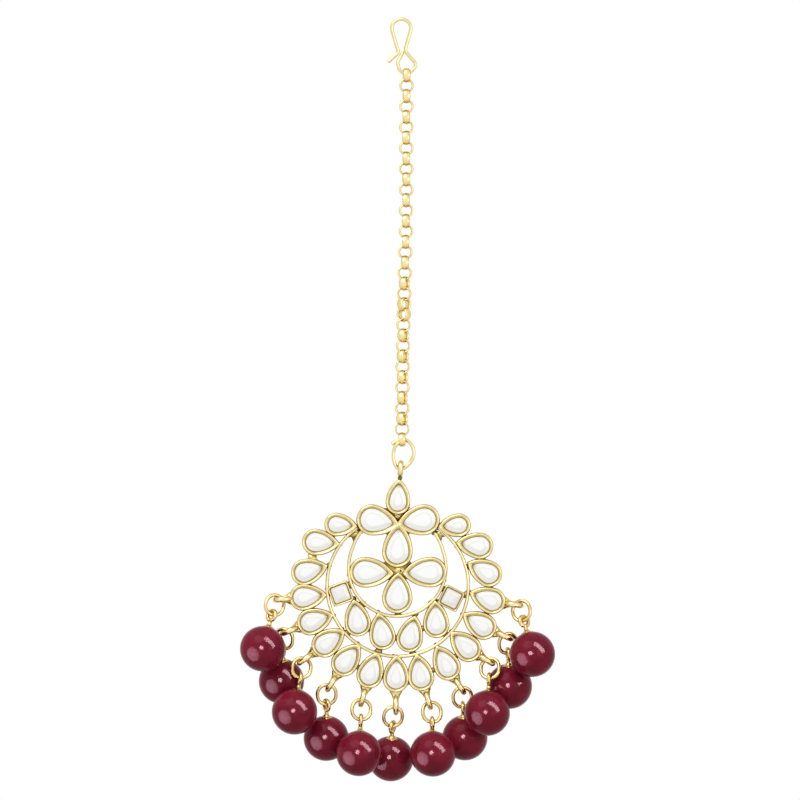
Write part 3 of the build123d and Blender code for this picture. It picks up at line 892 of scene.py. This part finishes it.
def add_link(shell, number, radius, width):
    """One belcher link: a band domed inside and out."""
    z = FIRST_LINK_Z - (number - 1) * LINK_PITCH
    levels, places = zip(*reversed(CHAIN_ROUTE))
    x = float(np.interp(z, levels, places))
    yaw = radians(link_yaw(number))
    across = Vector((cos(yaw), sin(yaw), 0))
    axis = Vector((sin(yaw), -cos(yaw), 0))
    inner = LINK_INSIDE if 1 < number < LINK_COUNT - 1 else END_LINK_INSIDE
    link_end_shade = 0.6 if number < TURNED_FROM else 0.4
    profile = link_profile(radius, inner, width / 2)
    points = []
    dirt_and_shade = []
    for angle in round_angles(LINK_SIDES):
        out = across * sin(angle) + Vector((0, 0, cos(angle)))
        bulge = 0.9 + 0.24 * abs(sin(angle)) ** 1.5
        for reach, along, dark in profile:
            points.append(Vector((x, 0, z)) + out * reach + axis * (along * bulge))
            # Painted shade at each link's top and bottom, where it meets the next links.
            dirt_and_shade.append(dark + link_end_shade * cos(angle) ** 2)
    shell.add(points, grid_faces(LINK_SIDES, len(profile), wrap_rows=True), dirt_and_shade)


class TIKKA_OT_chain(bpy.types.Operator):
    """Lays the belcher links from the hook's eye to the connector ring."""

    bl_idname = "tikka.chain"
    bl_label = "Chain"

    def execute(self, context):
        sizes = context.scene.tikka_wire
        groups = {
            "link_at_hook": ("chain_first_link", "chain_and_hook", [1]),
            "links": ("chain", "chain_and_hook", range(2, LINK_COUNT - 1)),
            "link_that_sways": ("chain_sway_link", "chain_and_hook", [LINK_COUNT - 1]),
            "link_at_ring": ("chain_last_link", "connector", [LINK_COUNT]),
        }
        for name, (node, body, numbers) in groups.items():
            shell = Shell()
            for number in numbers:
                add_link(shell, number, sizes.link_radius / MM, sizes.link_width / MM)
            make_piece(f"chain_{name}", shell, body, [node], "Link gold", 0.8)
        return {"FINISHED"}


class TIKKA_OT_connector_ring(bpy.types.Operator):
    """Bends the oval ring between chain and pendant, open at its top left."""

    bl_idname = "tikka.connector_ring"
    bl_label = "Connector ring"

    def execute(self, context):
        wire = context.scene.tikka_wire.ring_wire / MM
        bend_wire("connector_ring", "connector", smooth_path(RING_ROUTE), wire, 0.06)
        return {"FINISHED"}


def add_cup(shell, name, count, seed):
    """A cup: wall with a rounded rim and a closed back."""
    wall = wall_of(name)
    middle = SETTINGS[name][1:3]
    rise = 0.05 * wander((seed, 0, 0), 3.1)
    points = []
    dirt_and_shade = []
    for share, added, y, dark in CUP_PROFILE:
        offset = share * wall + added
        for x, z in outline(name, offset, count):
            uneven = 0.05 * wander((x, y, z), 0.8, seed)
            shift = 0.04 * wander((x, 0, z), 0.6, seed + 9) * (offset / wall)
            away = Vector((x - middle[0], z - middle[1])).normalized() * shift
            rim = (uneven + rise) if y < RIM_Y else 0.0
            points.append(standing((x + away.x, z + away.y), y + rim))
            dirt_and_shade.append(dark)
    shell.add(points, closed_faces(len(CUP_PROFILE), count), dirt_and_shade)


def add_strip(shell, name, width, seed):
    """One of the crescent's strips: a band on edge with a softened front."""
    line = strip_line(name)
    centre = Vector(STRIPS[name][:2])
    points = []
    dirt_and_shade = []
    for point in line:
        out = (Vector(point) - centre).normalized()
        bend = 0.05 * wander((point[0], 0, point[1]), 0.35, seed)
        for share, y, dark in STRIP_SECTION:
            place = Vector(point) + out * (share * (width / 2) + bend)
            lift = 0.05 * wander((place.x, y, place.y), 0.7, seed) if y < 0 else 0.0
            points.append(standing(place, y + lift))
            dirt_and_shade.append(dark)
    count = len(STRIP_SECTION)
    faces = grid_faces(len(line), count)
    faces.append(tuple(range(count)))
    faces.append(tuple(range(len(points) - count, len(points)))[::-1])
    shell.add(points, faces, dirt_and_shade)


def nearest_places(first, second):
    """The two nearest points of two cups' or strips' outlines."""
    near, far = (
        np.array(strip_line(name, 400) if name in STRIPS else outline(name, wall_of(name), 160))
        for name in (first, second))
    gaps = np.hypot(near[:, None, 0] - far[None, :, 0], near[:, None, 1] - far[None, :, 1])
    a, b = np.unravel_index(np.argmin(gaps), gaps.shape)
    return near[a], far[b]


class TIKKA_OT_frame(bpy.types.Operator):
    """Builds the soldered metal: cups, crescent, solder, lugs and bail."""

    bl_idname = "tikka.frame"
    bl_label = "Pendant frame"

    def execute(self, context):
        sizes = context.scene.tikka_pendant
        shell = Shell()
        owner = []
        for number, name in enumerate(SETTINGS):
            add_cup(shell, name, sizes.outline_points, number * 1.3)
            owner += [number] * (len(shell.points) - len(owner))
        for number, name in enumerate(STRIPS, start=100):
            add_strip(shell, name, sizes.strip_width / MM, number)
            owner += [number] * (len(shell.points) - len(owner))
        darken_joints(shell, owner)
        # Solder at each joint, darkened with dirt and painted shade.
        for number, (first, second) in enumerate(SOLDERED):
            near, far = nearest_places(first, second)
            middle = (near + far) / 2
            gap = hypot(*(far - near))
            turn = degrees(atan2(far[1] - near[1], far[0] - near[0])) if gap > 0.01 else 0.0
            size = 0.55 + 0.15 * wander((number, 0, 0), 2.3)
            wide = size * (1.0 + min(0.6, gap))
            blob(shell, standing(middle, 0.2), (size + gap * 0.3, 0.8, wide), turn, 0.85, number)
        for number, (x, z, long, wide, turn, front, dirt) in enumerate(FILLINGS):
            place = standing((x, z), front / 2 + 0.45)
            blob(shell, place, (long, 0.45 - front / 2, wide), turn, dirt, number + 60)
        for front, dirt, corners in WEBS:
            self.add_web(shell, front, dirt, corners)
        for number, row in enumerate(DROPS):
            self.add_lug(shell, row, number)
        self.add_bail(shell)
        make_piece("openwork_frame", shell, "pendant", ["pendant_frame"],
                   "Frame gold")
        return {"FINISHED"}

    def add_lug(self, shell, row, number):
        """A wire ring on its flattened foot."""
        foot, tip, out = lug_line(row)
        centre = tip - out * (LUG_RADIUS + LUG_HALF_WIRE)
        path = oval_path(centre, out, BACKWARD, LUG_RADIUS + LUG_GROWTH, 0.0, RING_POINTS)
        sweep(shell, path, LUG_WIRE, closed=True, dirt_and_shade=0.12, rough=0.08, seed=number)
        start = len(shell.points)
        lathe(shell, foot, out, LUG_FOOT, sides=18, dirt_and_shade=0.2)
        for point in shell.points[start:]:
            point.y *= LUG_FLATNESS

    def add_web(self, shell, front, dirt, corners):
        """A flat web of solder over the given corners."""
        count = len(corners)
        points = [standing(corner, y) for y in (front, 0.6) for corner in corners]
        faces = [(k, (k + 1) % count, count + (k + 1) % count, count + k) for k in range(count)]
        faces += [tuple(range(count))[::-1], tuple(range(count, 2 * count))]
        shell.add(points, faces, dirt)

    def add_bail(self, shell):
        """The ring at the crest's tip, with the solder that holds it."""
        centre = Vector((BAIL_X, 0, BAIL_Z))
        up = Vector((sin(radians(BAIL_LEAN)), 0, cos(radians(BAIL_LEAN))))
        path = oval_path(centre, up, BACKWARD, BAIL_RADIUS, 0.0, RING_POINTS)
        sweep(shell, path, BAIL_WIRE, closed=True, sides=16, dirt_and_shade=0.05, rough=0.05)
        blob(shell, (BAIL_X - 0.12, 0, BAIL_Z - 2.1), (0.55, 0.8, 0.5), 0, 1.0, 77)


def darken_joints(shell, owner):
    """Adds dirt and painted shade where one cup or strip lies close to another, darker further
    back.
    """
    tree = KDTree(len(shell.points))
    for index, point in enumerate(shell.points):
        tree.insert(point, index)
    tree.balance()
    for index, point in enumerate(shell.points):
        near = FAR
        for _, other, distance in tree.find_range(point, JOINT_REACH):
            if owner[other] != owner[index]:
                near = min(near, distance)
        if near < JOINT_REACH:
            low = min(1.0, max(0.0, (point.y - RIM_CREST) / CREVICE))
            dark = (1 - near / JOINT_REACH) * (0.35 + 0.65 * low)
            shell.dirt_and_shade[index] = max(shell.dirt_and_shade[index], dark)


class TIKKA_OT_stones(bpy.types.Operator):
    """Sets a flat stone with a bevelled edge in each cup."""

    bl_idname = "tikka.stones"
    bl_label = "Stones"

    def execute(self, context):
        count = context.scene.tikka_pendant.outline_points
        for name in SETTINGS:
            shell = Shell()
            points = []
            dirt_and_shade = []
            square = SETTINGS[name][0] == "square"
            tip = outline(name, 0.0, count)[0]
            for offset, y, dark in STONE_ROWS:
                for point in outline(name, offset, count):
                    points.append(standing(point, y))
                    # Painted shade: greyer by the wall and along the bevel line, olive near the
                    # tip; a square stone is greyer all over.
                    near_tip = 1.0 - hypot(point[0] - tip[0], point[1] - tip[1]) / TIP_SHADE
                    shade = 0.9 * max(0.0, near_tip) if offset > TABLE_EDGE else 0.0
                    dirt_and_shade.append(0.25 + 0.3 * dark if square else max(dark, shade))
            last = (len(STONE_ROWS) - 1) * count
            faces = [face[::-1] for face in grid_faces(len(STONE_ROWS), count)]
            faces += [tuple(range(count)), tuple(range(last, last + count))[::-1]]
            shell.add(points, faces, dirt_and_shade)
            make_piece(f"set_{name}", shell, "pendant", [f"stone_{name}"],
                       "White stone")
        return {"FINISHED"}


class TIKKA_OT_fittings(bpy.types.Operator):
    """Makes each drop's jump ring, eye pin and petalled bead cap."""

    bl_idname = "tikka.fittings"
    bl_label = "Drop fittings"

    def execute(self, context):
        for number, row in enumerate(DROPS, start=1):
            jump, eye, bead, down = drop_places(row)
            shell = Shell()
            _, across = turned_axes(down, row[7])
            path = oval_path(jump, down, across, JUMP_RADIUS + JUMP_GROWTH, JUMP_STRAIGHT, 64)
            sweep(shell, path, JUMP_WIRE, closed=True, dirt_and_shade=0.05, rough=0.06, seed=number)
            self.add_pin(shell, eye, bead, down, row[8], number)
            lathe(shell, bead, -down, CAP_PROFILE, sides=40, dirt_and_shade=0.25, petals=5,
                  petal_depth=0.22)
            make_piece(f"fitting_{number:02d}", shell, "pendant", [f"drop_fitting_{number:02d}"],
                       "Drop gold")
        return {"FINISHED"}

    def add_pin(self, shell, eye, bead, down, turn, number):
        """A pin in the bead whose upper end is bent into an eye."""
        _, across = turned_axes(down, turn)
        loop = oval_path(eye, down, across, EYE_RADIUS + EYE_GROWTH, 0.0, 40, start=24,
                         sweep_turn=336)
        path = run(bead + down * PIN_END, eye + down * (EYE_RADIUS + 0.2), 0.7) + loop[::-1]
        sweep(shell, path, PIN_WIRE, sides=12, dirt_and_shade=0.15, rough=0.06, seed=number + 20)


class TIKKA_OT_beads(bpy.types.Operator):
    """Turns the eleven beads, each bored for its pin."""

    bl_idname = "tikka.beads"
    bl_label = "Beads"

    def execute(self, context):
        radius = context.scene.tikka_pendant.bead_radius / MM
        profile = [(POINT, BORE_END), (BORE_RADIUS, BORE_END), (BORE_RADIUS, radius - 0.2),
                   (BORE_RADIUS + MOUTH_EDGE, radius - 0.08)]
        for k in range(45):
            angle = MOUTH_ANGLE + (pi - MOUTH_ANGLE) * k / 44
            profile.append((max(radius * sin(angle), POINT), radius * cos(angle)))
        for number, row in enumerate(DROPS, start=1):
            _, _, bead, down = drop_places(row)
            shell = Shell()
            lathe(shell, bead, -down, profile[::-1], sides=72)
            make_piece(f"red_bead_{number:02d}", shell, "pendant", [f"bead_{number:02d}"],
                       "Red bead")
        return {"FINISHED"}


class TIKKA_OT_stage(bpy.types.Operator):
    """Sets the pale floor, the lights and the camera."""

    bl_idname = "tikka.stage"
    bl_label = "Stage"

    def execute(self, context):
        scene = context.scene
        scene.view_settings.view_transform = "Standard"
        self.add_world(scene)
        self.add_floor(scene)
        for row in STUDIO:
            self.add_lamp(scene, row)
        data = bpy.data.cameras.new("Camera")
        camera = bpy.data.objects.new("Camera", data)
        data.sensor_width = SENSOR
        data.lens = SENSOR * VIEW_DISTANCE / VIEW_WIDTH
        data.clip_end = 20.0
        camera.location = VIEW_CENTRE + Vector((0, -VIEW_DISTANCE, 0))
        camera.rotation_euler = (pi / 2, 0, 0)
        scene.collection.objects.link(camera)
        scene.camera = camera
        return {"FINISHED"}

    def add_lamp(self, scene, row):
        """An area lamp; a glint only shows as a reflection in the beads."""
        name, way, along, distance, size, watts, tint, spread, glint = row
        light = bpy.data.lights.new(name, "AREA")
        light.shape = "RECTANGLE" if "window" in name else "ELLIPSE"
        light.size, light.size_y = size
        light.energy = watts
        light.color = tint
        light.spread = radians(spread)
        lamp = bpy.data.objects.new(name, light)
        way = Vector(way).normalized()
        along = Vector(along)
        along = (along - way * along.dot(way)).normalized()
        turn = Matrix((along, way.cross(along), way)).transposed().to_4x4()
        aim = GLINT_AIM if glint else VIEW_CENTRE
        lamp.matrix_world = Matrix.Translation(aim + way * distance) @ turn
        scene.collection.objects.link(lamp)
        if glint:
            lamp.visible_diffuse = False
            lamp.light_linking.receiver_collection = self.bead_collection()

    def bead_collection(self):
        """The beads, as the glints' only receivers."""
        beads = bpy.data.collections.get("Beads") or bpy.data.collections.new("Beads")
        for piece in bpy.data.objects:
            if piece.name.startswith("red_bead") and piece.name not in beads.objects:
                beads.objects.link(piece)
        return beads

    def add_world(self, scene):
        """An even white light, seen as plain white."""
        world = bpy.data.worlds.new("Plain white room")
        scene.world = world
        world.use_nodes = True
        nodes = Nodes(world.node_tree)
        light, white = (
            nodes.add("ShaderNodeBackground", {"Color": WHITE, "Strength": strength}).outputs[0]
            for strength in (ROOM_LIGHT, 1.0))
        nodes.add("ShaderNodeOutputWorld", {"Surface": nodes.blend(nodes.seen(), light, white)})

    def add_floor(self, scene):
        """A pale round floor under the jewel; seen bright, it keeps its shadow."""
        nodes = new_material("Pale floor")
        matt = nodes.add("ShaderNodeBsdfDiffuse", {"Color": FLOOR_GREY})
        glow = nodes.add("ShaderNodeEmission", {"Color": WHITE, "Strength": nodes.seen()})
        nodes.add("ShaderNodeOutputMaterial",
                  {"Surface": nodes.blend(0.5, matt.outputs[0], glow.outputs[0])})
        level = CAD_BOX[0].z - FLOOR_DEPTH
        mesh = bpy.data.meshes.new("floor")
        ring = [(FLOOR_RADIUS * cos(angle), FLOOR_RADIUS * sin(angle), level)
                for angle in round_angles(64)]
        mesh.from_pydata(ring, [], [tuple(range(64))])
        mesh.materials.append(bpy.data.materials["Pale floor"])
        floor = bpy.data.objects.new("floor", mesh)
        scene.collection.objects.link(floor)


PIECES = (TIKKA_OT_finishes, TIKKA_OT_hair_hook, TIKKA_OT_chain, TIKKA_OT_connector_ring,
          TIKKA_OT_frame, TIKKA_OT_stones, TIKKA_OT_fittings, TIKKA_OT_beads, TIKKA_OT_stage)


class TIKKA_PT_panel(bpy.types.Panel):
    """Lists the pieces and their sizes in the sidebar."""

    bl_idname = "TIKKA_PT_panel"
    bl_label = "Maang Tikka"
    bl_space_type = "VIEW_3D"
    bl_region_type = "UI"
    bl_category = "Maang Tikka"

    def draw(self, context):
        layout = self.layout
        for group in ("tikka_wire", "tikka_pendant", "tikka_colours"):
            settings = getattr(context.scene, group)
            box = layout.box()
            for name in settings.__annotations__:
                box.prop(settings, name)
        for operator in PIECES:
            layout.operator(operator.bl_idname)


GROUPS = {"tikka_wire": TikkaWire, "tikka_pendant": TikkaPendant, "tikka_colours": TikkaColours}
CLASSES = (*GROUPS.values(), *PIECES, TIKKA_PT_panel)


def register():
    for item in CLASSES:
        bpy.utils.register_class(item)
    for name, group in GROUPS.items():
        setattr(bpy.types.Scene, name, PointerProperty(type=group))


def unregister():
    for name in GROUPS:
        delattr(bpy.types.Scene, name)
    for item in reversed(CLASSES):
        bpy.utils.unregister_class(item)


def main():
    register()
    bpy.ops.tikka.finishes()
    bpy.ops.tikka.hair_hook()
    bpy.ops.tikka.chain()
    bpy.ops.tikka.connector_ring()
    bpy.ops.tikka.frame()
    bpy.ops.tikka.stones()
    bpy.ops.tikka.fittings()
    bpy.ops.tikka.beads()
    bpy.ops.tikka.stage()


if __name__ == "__main__":
    main()
